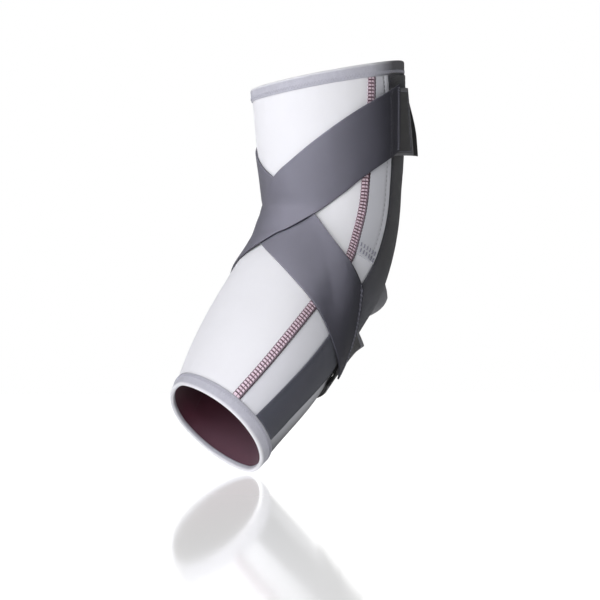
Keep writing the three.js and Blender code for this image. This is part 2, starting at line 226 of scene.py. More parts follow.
def skin(along, around, height=0.0):
    """Points of the sleeve at shares along it, angles from the crook and heights off the panels."""
    along, around, height = np.broadcast_arrays(along, around, height)
    height = height + drift(along, around)
    cos = np.cos(around)
    cut = TOP_CUT_DROP * cos * (1 - along) ** 2 - BOTTOM_CUT_RISE * cos * along**2
    length = along * SLEEVE_LENGTH + cut
    radius = BEND_LENGTH / FLEXION
    lean = UPPER_LEAN + FLEXION * np.clip((length - UPPER_LENGTH) / BEND_LENGTH, 0, 1)
    middle = UPPER_LEAN + FLEXION / 2
    past = np.maximum(length - UPPER_LENGTH - BEND_LENGTH, 0)
    beyond = np.where(length < UPPER_LENGTH, length - UPPER_LENGTH, past)
    x = radius * (np.cos(lean) - math.cos(middle)) - beyond * np.sin(lean)
    z = -radius * (np.sin(lean) - math.sin(middle)) - beyond * np.cos(lean)
    front = section(along, "front") * FRONT_DEPTH
    back = section(along, "back") * BACK_DEPTH + fold_at(along, around)
    forward = (np.where(cos > 0, front, back) + height) * cos
    sin = np.sin(around)
    pinch = MOUTH_PINCH * smoothstep((along - 1) * SLEEVE_LENGTH, -MOUTH_REACH, 0)
    sideways = (section(along, "side") * HALF_WIDTH * np.abs(sin) ** pinch + height) * sin
    return np.stack([x - np.cos(lean) * forward, -sideways, z + np.sin(lean) * forward], -1)


def directions(along, around):
    """Directions of the skin for a whole share along it and for a radian round it."""
    step = 1e-4
    here = skin(along, around)
    lengthwise = (skin(along + step, around) - here) / step
    sideways = (skin(along, around + step) - here) / step
    return lengthwise, sideways


def per_radian(along, around):
    return np.linalg.norm(directions(along, around)[1], axis=-1)


def turned_by(along, around, distance):
    """Angle that lies some distance round the sleeve from another."""
    for _ in range(4):
        around = around + distance / 4 / per_radian(along, around)
    return around


def smoothstep(value, low, high):
    t = np.clip((value - low) / (high - low), 0, 1)
    return t * t * (3 - 2 * t)


def lerp(start, end, t):
    return start + (end - start) * t


def unit(vectors):
    return vectors / np.linalg.norm(vectors, axis=-1, keepdims=True)


# Meshes.


def make_mesh(name, points, faces, weave=None):
    """Mesh object with smooth faces. weave: metres across and along the cloth at each point."""
    mesh = bpy.data.meshes.new(name)
    mesh.from_pydata(points.tolist(), [], faces)
    mesh.update()
    if weave is not None:
        layer = mesh.attributes.new("weave", "FLOAT_VECTOR", "POINT")
        layer.data.foreach_set("vector", weave.astype(np.float32).ravel())
    mesh.shade_smooth()
    piece = bpy.data.objects.new(name, mesh)
    bpy.context.scene.collection.objects.link(piece)
    return piece


def rounded(piece, radius):
    """Rounds the sharp rims of a piece."""
    bevel = piece.modifiers.new("rounded", "BEVEL")
    bevel.width = radius
    bevel.segments = 3
    bevel.limit_method = "ANGLE"
    bevel.angle_limit = 50 * DEGREE


def dress(piece, material, slot, *nodes):
    """Gives a piece its material and body and hides the nodes that it stands for. slot: not used.
    """
    piece.data.materials.append(bpy.data.materials[material])
    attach(piece, "root")
    if nodes:
        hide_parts(*nodes)


def sheet_weave(points):
    """Distances across and along a grid of points, measured on the cloth."""
    across = np.linalg.norm(np.diff(points, axis=1), axis=-1)
    along = np.linalg.norm(np.diff(points, axis=0), axis=-1)
    x = np.concatenate([np.zeros((len(points), 1)), np.cumsum(across, axis=1)], axis=1)
    x = x - x[:, [x.shape[1] // 2]]
    y = np.concatenate([np.zeros((1, points.shape[1])), np.cumsum(along, axis=0)], axis=0)
    y = np.broadcast_to(y.mean(axis=1, keepdims=True), y.shape)
    return np.stack([x, y, np.zeros_like(x)], -1)


def thinned(along, height, at_cut):
    """Height of an inner face, which the binding squeezes towards the outer one at the cuts."""
    from_cut = np.minimum(along, 1 - along) * SLEEVE_LENGTH
    return lerp(at_cut, height, smoothstep(from_cut, 0.5 * MM, SQUEEZED))


def quads(*corners):
    """Faces from grids of their four corners."""
    return np.stack(corners, -1).reshape(-1, 4).tolist()


def slab(name, along, around, low, high):
    """Closed body over a grid of places on the skin, from a low to a high height."""
    outer = skin(along, around, high)
    inner = skin(along, around, low)
    rows, columns = outer.shape[:2]
    weave = sheet_weave(outer)
    points = np.concatenate([outer.reshape(-1, 3), inner.reshape(-1, 3)])
    index = np.arange(rows * columns).reshape(rows, columns)
    under = index + rows * columns
    faces = quads(index[:-1, :-1], index[1:, :-1], index[1:, 1:], index[:-1, 1:])
    faces += quads(under[:-1, :-1], under[:-1, 1:], under[1:, 1:], under[1:, :-1])
    faces += quads(index[0, :-1], index[0, 1:], under[0, 1:], under[0, :-1])
    faces += quads(index[-1, 1:], index[-1, :-1], under[-1, :-1], under[-1, 1:])
    faces += quads(index[1:, 0], index[:-1, 0], under[:-1, 0], under[1:, 0])
    faces += quads(index[:-1, -1], index[1:, -1], under[1:, -1], under[:-1, -1])
    weave = np.concatenate([weave, weave]).reshape(-1, 3)
    return outward(make_mesh(name, points, faces, weave))


def outward(piece):
    """Turns the faces of a closed piece outward."""
    mesh = piece.data
    mesh.calc_loop_triangles()
    corners = np.empty(len(mesh.loop_triangles) * 3, int)
    mesh.loop_triangles.foreach_get("vertices", corners)
    points = np.empty(len(mesh.vertices) * 3)
    mesh.vertices.foreach_get("co", points)
    a, b, c = points.reshape(-1, 3)[corners].reshape(-1, 3, 3).transpose(1, 0, 2)
    if (a * np.cross(b, c)).sum() < 0:
        mesh.flip_normals()
    return piece


def ring(name, along, height, rings):
    """Closed tube round the whole sleeve, from a closed profile of shares along and heights."""
    around = np.linspace(-math.pi / 2, 1.5 * math.pi, rings, endpoint=False)[:, None]
    points = skin(along[None, :], around, height[None, :])
    columns = len(along)
    index = np.arange(rings * columns).reshape(rings, columns)
    onward = np.roll(index, -1, axis=0)
    faces = quads(index, onward, np.roll(onward, -1, axis=1), np.roll(index, -1, axis=1))
    step = np.linalg.norm(np.roll(points, -1, axis=0) - points, axis=-1)
    x = np.cumsum(step, axis=0)
    x = x - x[[rings * 3 // 4]]
    y = np.broadcast_to(along[None, :] * SLEEVE_LENGTH, x.shape)
    weave = np.stack([x, y, x * 0], -1).reshape(-1, 3)
    return outward(make_mesh(name, points.reshape(-1, 3), faces, weave))


def threads(name, paths, radius, sides=6):
    """Round threads along paths. A path: points and the directions out of the cloth there."""
    all_points = []
    faces = []
    start = 0
    turns = np.arange(sides) * 2 * math.pi / sides
    for points, normals in paths:
        tangent = unit(np.gradient(points, axis=0))
        side = unit(np.cross(tangent, normals))
        up = np.cross(side, tangent)
        circle = np.cos(turns)[:, None] * side[:, None] + np.sin(turns)[:, None] * up[:, None]
        all_points.append((points[:, None] + radius * circle).reshape(-1, 3))
        index = start + np.arange(len(points) * sides).reshape(len(points), sides)
        after = np.roll(index, -1, axis=1)
        faces += quads(index[:-1], after[:-1], after[1:], index[1:])
        faces += [index[0, ::-1].tolist(), index[-1].tolist()]
        start += len(points) * sides
    points = np.concatenate(all_points)
    return outward(make_mesh(name, points, faces, points))


def arch(count, rise):
    """Heights of a stitch from hole to hole."""
    return rise * np.sin(np.linspace(0, math.pi, count))


def laid(along, around, height):
    """Path on the skin, with the directions out of the cloth."""
    along, around, height = np.broadcast_arrays(along, around, height)
    lengthwise, sideways = directions(along, around)
    normal = unit(np.cross(sideways, lengthwise))
    outwards = skin(along, around, height + MM) - skin(along, around, height)
    normal *= np.sign((normal * outwards).sum(-1, keepdims=True))
    return skin(along, around, height), normal


# Materials.


class Shader:
    """Node tree of one material, old or new, built up by short calls."""

    def __init__(self, name):
        self.material = bpy.data.materials.get(name) or bpy.data.materials.new(name)
        self.material.use_nodes = True
        self.tree = self.material.node_tree
        self.surface = self.tree.nodes["Principled BSDF"]

    def node(self, kind, **values):
        made = self.tree.nodes.new(kind)
        for name, value in values.items():
            setattr(made, name, value)
        return made

    def link(self, source, target):
        if isinstance(source, (int, float, tuple)):
            target.default_value = source
        else:
            self.tree.links.new(source, target)

    def math(self, operation, first, second=0.0):
        made = self.node("ShaderNodeMath", operation=operation)
        self.link(first, made.inputs[0])
        self.link(second, made.inputs[1])
        return made.outputs[0]

    def weave(self):
        attribute = self.node("ShaderNodeAttribute", attribute_name="weave")
        split = self.node("ShaderNodeSeparateXYZ")
        self.link(attribute.outputs["Vector"], split.inputs[0])
        return attribute.outputs["Vector"], split.outputs[0], split.outputs[1]

    def wave(self, place, pitch, phase=0.0):
        angle = self.math("MULTIPLY", place, 2 * math.pi / pitch)
        return self.math("SINE", self.math("ADD", angle, phase))

    def noise(self, vector, size, detail=3.0, roughness=0.55):
        made = self.node("ShaderNodeTexNoise")
        self.link(vector, made.inputs["Vector"])
        made.inputs["Scale"].default_value = 1 / size
        made.inputs["Detail"].default_value = detail
        made.inputs["Roughness"].default_value = roughness
        return made.outputs["Fac"]

    def blend(self, factor, first, second):
        made = self.node("ShaderNodeMix", data_type="RGBA")
        self.link(factor, made.inputs["Factor"])
        self.link(first, made.inputs[6])
        self.link(second, made.inputs[7])
        return made.outputs[2]

    def spread(self, value, low, high, to_low, to_high):
        made = self.node("ShaderNodeMapRange")
        self.link(value, made.inputs["Value"])
        made.inputs["From Min"].default_value = low
        made.inputs["From Max"].default_value = high
        made.inputs["To Min"].default_value = to_low
        made.inputs["To Max"].default_value = to_high
        return made.outputs["Result"]

    def along(self, vector, direction):
        """How far a vector runs along a direction."""
        made = self.node("ShaderNodeVectorMath", operation="DOT_PRODUCT")
        self.link(vector, made.inputs[0])
        self.link(direction, made.inputs[1])
        return made.outputs["Value"]

    def feed(self, name, source):
        """Gives one input of the surface a constant or a socket."""
        self.link(source, self.surface.inputs[name])

    def bump(self, height, depth):
        made = self.node("ShaderNodeBump")
        self.link(height, made.inputs["Height"])
        self.link(depth, made.inputs["Distance"])
        self.link(1.0, made.inputs["Strength"])
        self.feed("Normal", made.outputs["Normal"])

    def place(self):
        return self.node("ShaderNodeTexCoord").outputs["Object"]


def cloth(name, light, dark, pitch, pattern, depth, roughness, sheen, mottle, patch, gloss):
    """Cloth of one row of the table. pattern: knit, rib, twill or nap."""
    shader = Shader(name)
    vector, x, y = shader.weave()
    pitch = pitch * MM
    if pattern == "knit":
        sway = shader.math("MULTIPLY", shader.wave(y, 1.3 * pitch), 0.9)
        angle = shader.math("ADD", shader.math("MULTIPLY", x, 2 * math.pi / pitch), sway)
        loops = shader.wave(y, 1.3 * pitch, 0.8)
        yarns = shader.math("MULTIPLY", shader.math("SINE", angle), loops)
    elif pattern == "rib":
        between = shader.math("MULTIPLY", shader.wave(x, 0.6 * pitch), 0.45)
        yarns = shader.math("ADD", shader.wave(y, pitch), between)
    elif pattern == "twill":
        between = shader.math("MULTIPLY", shader.wave(x, 0.7 * pitch), 0.3)
        yarns = shader.math("ADD", shader.wave(shader.math("ADD", x, y), pitch), between)
    else:
        yarns = shader.spread(shader.noise(vector, 0.5 * pitch, 4.0, 0.7), 0.3, 0.7, -1.0, 1.0)
    fibre = shader.noise(vector, 0.45 * pitch, 3.0, 0.65)
    blotches = shader.noise(shader.place(), patch * MM, 3.0)
    mottling = shader.math("MULTIPLY", shader.math("SUBTRACT", blotches, 0.5), mottle * 2)
    fuzz = shader.math("MULTIPLY", shader.math("SUBTRACT", fibre, 0.5), 0.5)
    tone = shader.math("ADD", shader.spread(yarns, -1.0, 1.0, 0.3, 0.7), mottling)
    share = shader.spread(shader.math("ADD", tone, fuzz), 0.0, 1.0, 0.0, 1.0)
    shader.feed("Base Color", shader.blend(share, srgb(*dark), srgb(*light)))
    shader.feed("Roughness", shader.spread(fibre, 0.2, 0.8, roughness - 0.08, roughness + 0.08))
    shader.feed("Sheen Weight", sheen)
    shader.feed("Sheen Roughness", 0.5)
    shader.feed("Specular IOR Level", gloss)
    shader.bump(shader.math("ADD", yarns, shader.math("MULTIPLY", fibre, 1.2)), depth * MM)


def tint(name, factor_of, colour):
    """Blends a cloth's colour towards another. factor_of works out the share from the shader."""
    shader = Shader(name)
    before = shader.surface.inputs["Base Color"].links[0].from_socket
    shader.feed("Base Color", shader.blend(factor_of(shader), before, srgb(*colour)))


def yarn(name, light, dark):
    """Twisted sewing thread."""
    shader = Shader(name)
    place = shader.place()
    share = shader.spread(shader.noise(place, 0.7 * MM, 2.0), 0.3, 0.7, 0.0, 1.0)
    shader.feed("Base Color", shader.blend(share, srgb(*dark), srgb(*light)))
    shader.feed("Roughness", 0.6)
    shader.feed("Sheen Weight", 0.15)
    shader.bump(shader.noise(place, 0.25 * MM, 2.0), 0.05 * MM)


# Cloths: light and dark colour from 0 to 255, pitch of the yarns, pattern, depth of the relief,
# roughness, sheen, strength and size of the mottling, and gloss. Lengths are in millimetres.
CLOTHS = (
    ("white_cloth", (236, 236, 239), (226, 226, 230), 0.8, "knit", 0.02, 0.8, 0.1, 0.2, 18, 0.3),
    ("grey_cloth", (222, 222, 227), (205, 206, 212), 0.8, "knit", 0.03, 0.62, 0.2, 0.25, 18, 0.3),
    ("pocket_cloth", (203, 204, 210), (184, 185, 192), 0.7, "twill", 0.03, 0.5, 0.2, 0.35, 18, 0.3),
    ("lining_cloth", (84, 36, 52), (62, 26, 40), 0.7, "knit", 0.06, 0.85, 0.1, 0.3, 18, 0.3),
    ("binding_tape", (205, 205, 214), (168, 168, 180), 1.3, "nap", 0.12, 0.65, 0.2, 0.3, 3, 0.3),
    ("dark_webbing", (38, 39, 46), (26, 27, 32), 0.8, "nap", 0.12, 0.75, 0.25, 0.6, 12, 0.3),
    ("strap_elastic", (53, 52, 66), (42, 41, 53), 0.5, "rib", 0.03, 0.64, 0.05, 0.2, 30, 0.8),
    ("tab_cloth", (68, 68, 69), (36, 36, 37), 1.2, "nap", 0.2, 0.7, 0.15, 0.7, 4, 0.3),
    ("tab_edge", (124, 124, 128), (72, 72, 76), 0.8, "twill", 0.08, 0.6, 0.15, 0.3, 5, 0.3),
    ("hook_plastic", (26, 26, 27), (12, 12, 12), 1.2, "rib", 0.3, 0.45, 0.0, 0.2, 4, 0.3),
    ("seam_cover", (246, 230, 238), (226, 198, 212), 0.8, "rib", 0.05, 0.6, 0.1, 0.4, 3, 0.3),
)
YARNS = (
    ("seam_thread", (92, 38, 60), (58, 22, 38)),
    ("seam_rope", (64, 30, 44), (38, 17, 28)),
    ("pale_thread", (188, 188, 198), (150, 150, 162)),
    ("grey_thread", (128, 128, 142), (98, 98, 112)),
    ("dark_thread", (40, 40, 47), (22, 22, 27)),
)
for row in CLOTHS:
    cloth(*row)
for row in YARNS:
    yarn(*row)

# Distances across and along the cloths at which their painted shade and painted highlights begin
# and end.
BACK_SHADE_REACH = (34 * MM, 58 * MM)
TAPE_SHADE_REACH = (62 * MM, 84 * MM)
CREST_HIGHLIGHT_REACH = (-0.6 * MM, 0.9 * MM)
ABOVE_FOLD = (-10 * MM, -3 * MM)
BELOW_FOLD = (1 * MM, 5 * MM)
BELOW_UPPER_ARM = (100 * MM, 150 * MM)
TAB_SHADE_REACH = (175 * MM, 225 * MM)
WRIST_SHEEN_REACH = (130 * MM, 190 * MM)

# Strength of the strongest painted shade and sheen, and a strap's gloss before its tab and by it.
BACK_SHADE_SHARE = 0.95
TRIM_SHARE = 0.7
STRAP_GLOSS = (0.8, 0.35)


def back_shade(shader, reach=BACK_SHADE_REACH):
    """Share of painted shade that grows towards the middle of the back panel."""
    across = shader.math("ABSOLUTE", shader.weave()[1])
    return shader.spread(across, *reach, BACK_SHADE_SHARE, 0.0)


def crest_highlight(shader):
    """Share of painted highlight that grows towards the crest of a binding."""
    along = shader.weave()[2]
    from_cut = shader.math("MINIMUM", along, shader.math("SUBTRACT", SLEEVE_LENGTH, along))
    return shader.spread(from_cut, *CREST_HIGHLIGHT_REACH, 1.0, 0.0)


def fold_shade(shader):
    """Share of painted shade that is full on the upper side of the fold over the point of the
    elbow.
    """
    from_crest = shader.math("SUBTRACT", shader.weave()[2], FOLD_CREST * SLEEVE_LENGTH)
    above = shader.spread(from_crest, *ABOVE_FOLD, 0.0, 1.0)
    below = shader.spread(from_crest, *BELOW_FOLD, 1.0, 0.0)
    return shader.math("MULTIPLY", shader.math("MULTIPLY", above, below), back_shade(shader))


def upper_back_shade(shader):
    """Share of painted shade that is full at the back of the upper arm."""
    upper = shader.spread(shader.weave()[2], *BELOW_UPPER_ARM, 1.0, 0.0)
    return shader.math("MULTIPLY", back_shade(shader, TAPE_SHADE_REACH), upper)


def tab_shade(shader):
    """Share of painted shade that grows along a strap towards its tab."""
    return shader.spread(shader.weave()[2], *TAB_SHADE_REACH, 0.0, TRIM_SHARE)


def wrist_sheen(shader):
    """Share of painted sheen that grows down the forearm."""
    return shader.spread(shader.weave()[2], *WRIST_SHEEN_REACH, 0.0, TRIM_SHARE)


def dull_near_tab(name):
    """Lowers a strap's gloss towards its tab."""
    shader = Shader(name)
    gloss = shader.spread(tab_shade(shader), 0.0, TRIM_SHARE, *STRAP_GLOSS)
    shader.feed("Specular IOR Level", gloss)


# Painted shade: the back panel's grey darkens towards its middle, which faces away from the light.
tint("grey_cloth", back_shade, (76, 77, 83))
# Painted shade on the upper side of the fold over the point of the elbow.
tint("grey_cloth", fold_shade, (52, 52, 57))
# Painted highlight along the crests of the bindings.
tint("binding_tape", crest_highlight, (240, 240, 244))
# Painted shade on the top tape at the back of the upper arm, away from the light.
tint("binding_tape", upper_back_shade, (62, 62, 67))
# Painted shade on each strap towards its tab, where the strap turns away from the light.
tint("strap_elastic", tab_shade, (28, 28, 36))
dull_near_tab("strap_elastic")
# Painted sheen: the dark band turns lighter and bluer down the forearm.
tint("dark_webbing", wrist_sheen, (72, 74, 86))


# Panels and lining.

ROW_STEP = 1.7 * MM

# Angle from a seam's middle to each panel's edge, and heights of the inner faces at the cuts.
PANEL_PART = 0.003
PANEL_AT_CUT = -0.9 * MM
LINING_AT_CUT = (-1.1 * MM, -1.5 * MM)


def grid(start, end, columns, low, high):
    """Grid of places between two shares along and two angles at each."""
    rows = int((high - low) * SLEEVE_LENGTH / ROW_STEP) + 1
    along = np.linspace(low, high, rows)[:, None]
    share = np.linspace(0, 1, columns)[None, :]
    around = start(along) + (end(along) - start(along)) * share
    return np.broadcast_to(along, around.shape), around


def puckers(along, around):
    """Small ripples where the seams and the bindings draw the cloth in."""
    from_seam = np.abs(np.abs(wrap(around)) - seam_at(along)) * per_radian(along, around)
    from_cut = np.minimum(along, 1 - along) * SLEEVE_LENGTH - BINDING_DEPTH
    beside_seam = np.exp(-np.maximum(from_seam - 2 * MM, 0) / (3 * MM))
    beside_cut = np.exp(-np.maximum(from_cut, 0) / (5 * MM))
    along_seam = np.sin(along * SLEEVE_LENGTH * 2 * math.pi / (5.2 * MM) + 2 * np.sin(9 * along))
    along_cut = np.sin(around * 37 + 2 * np.sin(5 * around)) * np.sin(around * 11 + 1)
    seam_ripple = 0.09 * MM * beside_seam * along_seam
    cut_ripple = 0.16 * MM * beside_cut * along_cut
    return seam_ripple + cut_ripple - 0.1 * MM * beside_seam


def panel(name, start, end, columns, material, node):
    """Panel of the sleeve between two angles, over its whole length."""
    along, around = grid(start, end, columns, 0, 1)
    inner = thinned(along, -PANEL_WALL, PANEL_AT_CUT)
    piece = slab(name, along, around, inner, puckers(along, around))
    dress(piece, material, material, node)


def front_cloth():
    def edge(u):
        return seam_at(u) - PANEL_PART

    panel("front_cloth", lambda u: -edge(u), edge, 130, "white_cloth", "front_panel")


def back_cloth():
    def edge(u):
        return seam_at(u) + PANEL_PART

    def far_edge(u):
        return 2 * math.pi - edge(u)

    panel("back_cloth", edge, far_edge, 190, "grey_cloth", "back_panel")


def lining_cloth():
    rows = 130
    outer = np.linspace(0, 1, rows)
    along = np.concatenate([outer, outer[::-1]])
    outside = thinned(outer, LINING_OUTER, LINING_AT_CUT[0])
    inside = thinned(outer, LINING_INNER, LINING_AT_CUT[1])
    height = np.concatenate([outside, inside[::-1]])
    piece = ring("lining_cloth", along, height, 150)
    dress(piece, "lining_cloth", "lining_cloth", "lining")


def binding(name, end, node):
    """Tape folded over a cut edge: a flat outer leg, a narrow crown and a short inner leg."""
    inward = 1 if end == 0 else -1
    outer = 1.05 * MM
    inner = -1.8 * MM
    turn = np.linspace(90, -90, 11) * DEGREE
    middle = (outer + inner) / 2
    crown_length = (0.2 - 1.5 * np.cos(turn)) * MM
    crown = middle + (outer - middle) * np.sin(turn)
    outer_length = np.array([8, 8.15, 8.05, 7.2, 5.5, 4.3, 3, 1.5]) * MM
    outer_leg = np.array([0.3, 0.6, 0.9, 1.0, 1.05, 1.08, 1.1, 1.1]) * MM
    inner_length = np.array([1.2, 2.2, 2.6, 2.2, 0.4, -0.3, -0.3, 1.5, 4.5]) * MM
    inner_leg = np.array([-1.85, -1.85, -1.8, -1.75, -1.7, -1.6, 0.2, 0.25, 0.25]) * MM
    length = np.concatenate([outer_length, crown_length, inner_length])
    height = np.concatenate([outer_leg, crown, inner_leg])
    piece = ring(name, end + inward * length / SLEEVE_LENGTH, height, 260)
    dress(piece, "binding_tape", "binding_tape", node)


def binding_stitches(name, end):
    """Zigzag of fine thread near the tape's edge."""
    inward = 1 if end == 0 else -1
    turns = 150
    paths = []
    for k in range(turns * 2):
        first = k * math.pi / turns
        around = np.linspace(first, first + math.pi / turns * 0.8, 4)
        depth = np.linspace(4.9, 7.0, 4) if k % 2 else np.linspace(7.0, 4.9, 4)
        height = (1.05 + arch(4, 0.12)) * MM
        paths.append(laid(end + inward * depth * MM / SLEEVE_LENGTH, around, height))
    piece = threads(name, paths, 0.16 * MM, 5)
    dress(piece, "pale_thread", "binding_tape")


# Seams, pockets and bands.

SEAM_PITCH = 2.35 * MM
POCKET_STITCH = 4.2 * MM
BAND_STITCH = 1.8 * MM


def flatlock(side, sign):
    """Flat seam: a pale cover with maroon threads crossing over it between two edge lines."""
    def edge(u, way):
        return turned_by(u, seam_at(u), way * SEAM_WIDTH / 2)

    along, around = grid(lambda u: edge(u, -1), lambda u: edge(u, 1), 9, TRIM_START, 1 - TRIM_START)
    piece = slab(f"{side}_seam_cover", along, sign * around, 0.1 * MM, SEAM_BASE_TOP)
    rounded(piece, 0.25 * MM)
    dress(piece, "seam_cover", "seam_thread", f"{side}_seam")
    pitch = SEAM_PITCH
    count = int((1 - 2 * TRIM_START) * SLEEVE_LENGTH / pitch)
    paths = []
    for k in range(count):
        start = TRIM_START + (k + 0.6) * pitch / SLEEVE_LENGTH
        for across, rise in (((-2.7, -0.1), (0.0, 0.12)), ((0.2, 2.6), (0.1, 0.32))):
            share = np.linspace(0, 1, 5)
            u = start + lerp(rise[0], rise[1], share) * pitch / SLEEVE_LENGTH
            v = turned_by(u, seam_at(u), lerp(across[0], across[1], share) * MM)
            h = SEAM_BASE_TOP + (0.2 * np.sin(share * math.pi) - 0.1) * MM
            paths.append(laid(u, sign * v, h))
    crossing = threads(f"{side}_seam_crossings", paths, 0.47 * MM)
    dress(crossing, "seam_thread", "seam_thread")
    lines = []
    for offset, lift in ((-2.75, 0.1), (0.05, 0.15), (2.65, 0.15)):
        u = np.linspace(TRIM_START, 1 - TRIM_START, 700)
        beat = np.sin(u * SLEEVE_LENGTH * 2 * math.pi / pitch)
        v = turned_by(u, seam_at(u), (offset + 0.12 * beat) * MM)
        lines.append((laid(u, sign * v, SEAM_BASE_TOP + (lift + 0.08 * beat) * MM), offset))
    thin = threads(f"{side}_seam_lines", [path for path, offset in lines if offset < 2], 0.2 * MM)
    dress(thin, "seam_thread", "seam_thread")
    thick = threads(f"{side}_seam_rope", [path for path, offset in lines if offset > 2], 0.72 * MM)
    dress(thick, "seam_rope", "seam_thread")


def stitch_run(end, pitch, places):
    """Shares along the sleeve of every stitch of a line that begins by the top binding."""
    for k in range(int((end - TRIM_START) * SLEEVE_LENGTH / pitch)):
        yield TRIM_START + (k + places) * pitch / SLEEVE_LENGTH


def stay_pocket(side, sign):
    """Pocket of the side stay, with its stitch line and the bar tacks that close it."""
    end = TRIM_START + POCKET_LENGTH / SLEEVE_LENGTH

    def front(u):
        return turned_by(u, seam_at(u), SEAM_WIDTH / 2 + LAYER_GAP)

    def rear(u):
        return turned_by(u, band_at(u), -LAYER_GAP)

    along, around = grid(front, rear, 16, TRIM_START, end)
    width = (rear(along) - front(along)) * per_radian(along, around)
    from_rear = (rear(along) - around) * per_radian(along, around)
    groove = np.exp(-(((from_rear - POCKET_STITCH) / (0.8 * MM)) ** 2))
    crown = np.sin(np.clip((around - front(along)) / (rear(along) - front(along)), 0, 1) * math.pi)
    top = POCKET_TOP + 0.25 * MM * crown * np.clip(width / (10 * MM), 0, 1) - 0.75 * MM * groove
    piece = slab(f"{side}_pocket_cloth", along, sign * around, 0.15 * MM, top)
    rounded(piece, 0.3 * MM)
    dress(piece, "pocket_cloth", "pocket_cloth", f"{side}_stay_pocket")
    stitches = []
    for u in stitch_run(end, 3 * MM, np.linspace(0.1, 0.8, 5)):
        v = turned_by(u, band_at(u), -LAYER_GAP - POCKET_STITCH)
        stitches.append(laid(u, sign * v, POCKET_TOP - (0.5 - arch(5, 0.12)) * MM))
    dress(threads(f"{side}_pocket_stitches", stitches, 0.2 * MM, 5), "dark_thread", "pocket_cloth")
    tacks = []
    for row, depth in enumerate((7.5, 3.5)):
        for k in range(6):
            share = (k + 0.7 + 0.3 * row) / 6.8
            base = end - (depth - 1.6 * share) * MM / SLEEVE_LENGTH
            u = base + np.linspace(-1.4, 1.4, 5) * MM / SLEEVE_LENGTH
            v = lerp(front(u), rear(u), share)
            tacks.append(laid(u, sign * v, POCKET_TOP + (0.1 + arch(5, 0.15)) * MM))
    dress(threads(f"{side}_bar_tacks", tacks, 0.45 * MM, 6), "grey_thread", "pocket_cloth")


def band(side, sign):
    """Dark band of looped cloth down the back edge of the side, stitched along both edges."""
    along, around = grid(band_at, rear_at, 36, TRIM_START, 1 - TRIM_START)
    angle = np.minimum(around - band_at(along), rear_at(along) - around)
    distance = angle * per_radian(along, around)
    groove = np.exp(-(((distance - BAND_STITCH) / (0.5 * MM)) ** 2))
    bumps = np.sin(700 * along + 3 * np.sin(41 * around)) * np.sin(61 * around + 90 * along)
    nap = 0.05 * MM * bumps
    top = BAND_TOP - 0.35 * MM * np.exp(-distance / (0.8 * MM)) - 0.18 * MM * groove + nap
    piece = slab(f"{side}_band_cloth", along, sign * around, 0.15 * MM, top)
    rounded(piece, 0.35 * MM)
    dress(piece, "dark_webbing", "dark_webbing", f"{side}_band")
    stitches = []
    for u in stitch_run(1 - TRIM_START, 3.2 * MM, np.linspace(0.15, 0.85, 4)):
        for v in (turned_by(u, band_at(u), BAND_STITCH), turned_by(u, rear_at(u), -BAND_STITCH)):
            stitches.append(laid(u, sign * v, BAND_TOP - 0.12 * MM))
    dress(threads(f"{side}_band_stitches", stitches, 0.17 * MM, 5), "dark_thread", "dark_webbing")


# Straps and tabs.

# Degrees by which a strap's lines are first drawn too long at each end.
SPARE_TURN = 22
TAB_STACK = HOOK_WALL + TAB_WALL + 2 * LAYER_GAP
TAB_COLUMNS = 50
TAB_STITCH = 2.6 * MM
TAB_RAMP = 22 * MM
STRAP_INSET = 1.2 * MM
# How often the heights of a strap are averaged along and across it.
EASED_ALONG = 45
EASED_ACROSS = 12


def climb(distance):
    return 1 - smoothstep(distance, STRAP_LEAD, STRAP_LEAD + STRAP_RAMP)


def trim_height(along, around):
    """Height of the seam, pocket and band under a strap."""
    angle = np.abs(wrap(around))
    scale = per_radian(along, angle)
    seam = seam_at(along)
    front = band_at(along)

    def outside(start, end):
        return np.maximum(start - angle, angle - end) * scale

    past_pocket = (along - TRIM_START) * SLEEVE_LENGTH - POCKET_LENGTH
    rear = front + section(along, "wide") * BAND_WIDTH / scale
    over_seam = 1.0 * MM * climb(outside(seam, seam) - SEAM_WIDTH / 2)
    over_pocket = (POCKET_TOP + 0.2 * MM) * climb(np.maximum(outside(seam, front), past_pocket))
    over_band = BAND_TOP * climb(outside(front, rear))
    return np.max((over_seam, over_pocket, over_band), axis=0)


def course_at(name, around):
    return column(COURSES, COURSE_COLUMNS, "around", name, around / DEGREE)


def eased(values, passes=70):
    """Values along a line, smoothed by repeated averaging with their neighbours."""
    for _ in range(passes):
        inside = (values[:-2] + 2 * values[1:-1] + values[2:]) / 4
        values = np.concatenate([values[:1], inside, values[-1:]])
    return values


def strap_line(name, start, end, aside, samples=180):
    """Line of places on the skin, beside the middle of a strap."""
    around = np.linspace(start, end, samples) * DEGREE
    along = course_at(name, around)
    ahead = around + 0.5 * DEGREE
    heading = skin(course_at(name, ahead), ahead) - skin(along, around)
    lengthwise, sideways = directions(along, around)
    way = unit(np.cross(np.cross(lengthwise, sideways), heading))
    strides = 6
    for _ in range(strides):
        lengthwise, sideways = directions(along, around)
        normal = unit(np.cross(lengthwise, sideways))
        way = unit(way - (way * normal).sum(-1, keepdims=True) * normal)
        aa = (lengthwise * lengthwise).sum(-1)
        ab = (lengthwise * sideways).sum(-1)
        bb = (sideways * sideways).sum(-1)
        wa = (way * lengthwise).sum(-1)
        wb = (way * sideways).sum(-1)
        scale = aside / strides / (aa * bb - ab * ab)
        along = along + (wa * bb - wb * ab) * scale
        around = around + (wb * aa - wa * ab) * scale
    return eased(along), eased(around)


def strap_layout(name):
    """Sizes and places of a strap's end and its tab."""
    ends = STRAPS[name]
    root = ends["root"] * DEGREE
    root_along = float(course_at(name, np.array(root)))
    scale = float(per_radian(np.array(root_along), np.array(root)))
    slope = ends["slant"] * SLEEVE_LENGTH / scale
    return dict(ends, name=name, root=root, root_along=root_along, scale=scale, slope=slope)


def root_at(layout, along):
    return layout["root"] + (along - layout["root_along"]) * layout["slope"]


